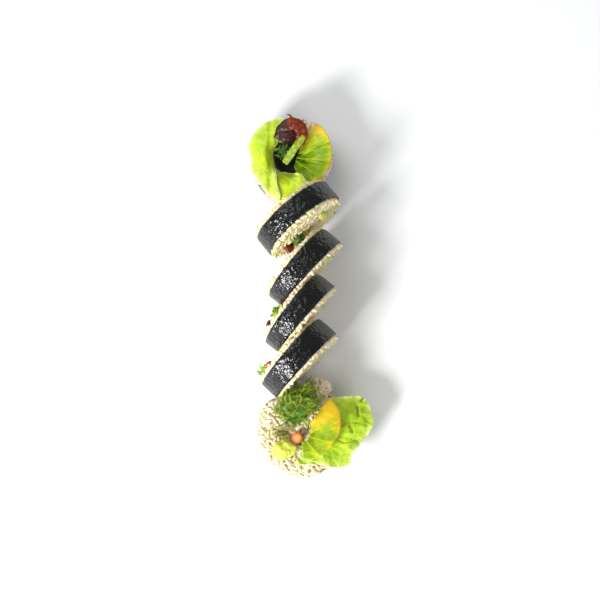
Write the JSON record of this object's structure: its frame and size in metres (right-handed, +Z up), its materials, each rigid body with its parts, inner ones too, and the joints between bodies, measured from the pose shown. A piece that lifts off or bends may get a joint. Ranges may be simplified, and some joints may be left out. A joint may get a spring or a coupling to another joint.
{
  "type": "avocado sushi roll",
  "caption": "Thick sushi roll cut into pieces and kept in its row: upright end pieces with avocado and leaves, and slices on edge between them.",
  "frame": {"origin": "centre of the row's box, on the surface that it stands on", "axes": "+Y along the row towards the far end piece, +X towards the side where the lettuce leaf sticks out, +Z up"},
  "size_m": [0.0736, 0.211, 0.052],
  "materials": {
    "nori": "dried seaweed, near black, crinkled, with a soft sheen",
    "rice": "cooked sushi rice, cream with a warm tint, slightly moist",
    "avocado": "ripe avocado flesh, yellow at the stone side and green at the skin side",
    "red": "marinated red pepper, dark red-brown and glossy",
    "greens": "leafy greens, mid to dark green",
    "carrot": "raw carrot, moist cut",
    "stick": "rough light green vegetable stick",
    "leaf": "tender lettuce leaf, bright yellow green with pale edges",
    "herb": "feathery green herb",
    "flesh": "soft mashed avocado, pale yellow green"
  },
  "bodies": {
    "root": {"slice_1_nori": "nori", "slice_1_rice": "rice", "slice_1_red": "red", "slice_1_greens": "greens", "slice_1_carrot": "carrot", "slice_1_stick": "stick", "slice_1_avocado": "avocado", "slice_2_nori": "nori", "slice_2_rice": "rice", "slice_2_red": "red", "slice_2_greens": "greens", "slice_2_carrot": "carrot", "slice_2_stick": "stick", "slice_2_avocado": "avocado", "slice_3_nori": "nori", "slice_3_rice": "rice", "slice_3_red": "red", "slice_3_greens": "greens", "slice_3_carrot": "carrot", "slice_3_stick": "stick", "slice_3_avocado": "avocado", "slice_4_nori": "nori", "slice_4_rice": "rice", "slice_4_red": "red", "slice_4_greens": "greens", "slice_4_carrot": "carrot", "slice_4_stick": "stick", "slice_4_avocado": "avocado", "top_nori": "nori", "top_rice": "rice", "top_leaf_left": "leaf", "top_leaf_front": "leaf", "top_avocado_1": "avocado", "top_avocado_2": "avocado", "top_avocado_3": "avocado", "top_avocado_4": "avocado", "top_red": "red", "top_stick": "stick", "top_greens": "greens", "bottom_nori": "nori", "bottom_rice": "rice", "bottom_lettuce": "leaf", "bottom_avocado_1": "avocado", "bottom_avocado_2": "avocado", "bottom_avocado_3": "avocado", "bottom_avocado_4": "avocado", "bottom_carrot": "carrot", "bottom_herb": "herb", "bottom_tuft": "herb", "bottom_flesh": "flesh"}
  },
  "joints": []
}
